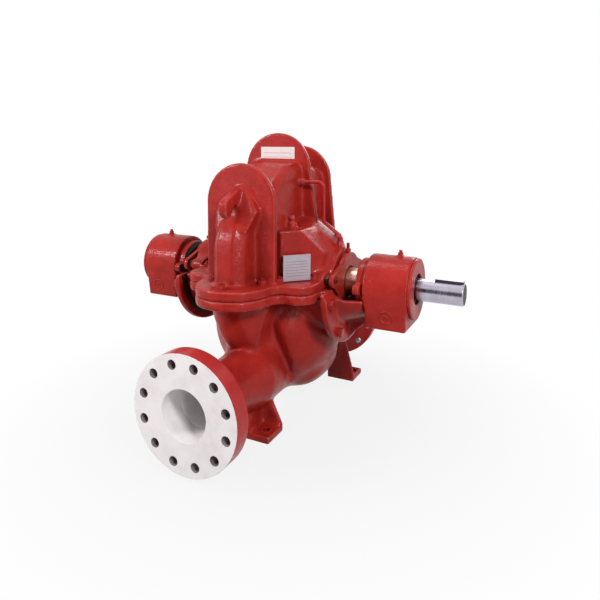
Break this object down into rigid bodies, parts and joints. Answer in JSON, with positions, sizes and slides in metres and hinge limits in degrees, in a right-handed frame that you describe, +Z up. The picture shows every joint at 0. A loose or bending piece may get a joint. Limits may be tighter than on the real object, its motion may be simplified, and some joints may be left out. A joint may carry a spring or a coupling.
{
  "type": "split case pump",
  "caption": "Horizontal split case centrifugal pump with side suction and discharge flanges, arched casing ribs, bracketed bearing housings and a bare keyed drive shaft.",
  "frame": {"origin": "on the foot plane under the middle of the bounding box; the pump centre plane is at x = -51.5 mm and the shaft plane at y = 0", "axes": "+X along the shaft towards the drive end, -Y out of the discharge flange, +Z up"},
  "size_m": [1.207, 1.12, 0.986],
  "materials": {
    "red_enamel": "glossy enamel over cast iron",
    "flange_faces": "glossy red enamel, pale coated face",
    "bright_steel": "turned and ground",
    "dark_steel": "oiled black",
    "bronze": "turned bronze"
  },
  "bodies": {
    "casing": {"lower_casing": "red_enamel", "discharge_flange": "flange_faces", "suction_flange": "flange_faces", "upper_casing": "red_enamel", "bearing_bracket_left": "red_enamel", "bearing_bracket_right": "red_enamel", "bearing_housing_left": "red_enamel", "bearing_housing_right": "red_enamel", "outboard_cover_left": "red_enamel", "outboard_cover_right": "red_enamel", "inboard_cover_left": "red_enamel", "inboard_cover_right": "red_enamel", "gland_left": "red_enamel", "gland_right": "red_enamel", "gland_studs_left": "dark_steel", "gland_studs_right": "dark_steel", "flush_tube_left": "red_enamel", "flush_tube_right": "red_enamel", "flush_fittings": "red_enamel", "casing_plugs": "red_enamel", "grease_fitting_left": "bright_steel", "grease_fitting_right": "bright_steel"},
    "rotor": {"shaft": "bright_steel", "shaft_key": "bright_steel", "shaft_sleeve_left": "bronze", "shaft_sleeve_right": "bronze"}
  },
  "joints": [
    {"name": "shaft_spin", "type": "hinge", "parent": "casing", "child": "rotor", "pos_m": [-0.0515, 0, 0.482], "axis": [1, 0, 0], "continuous": true}
  ]
}
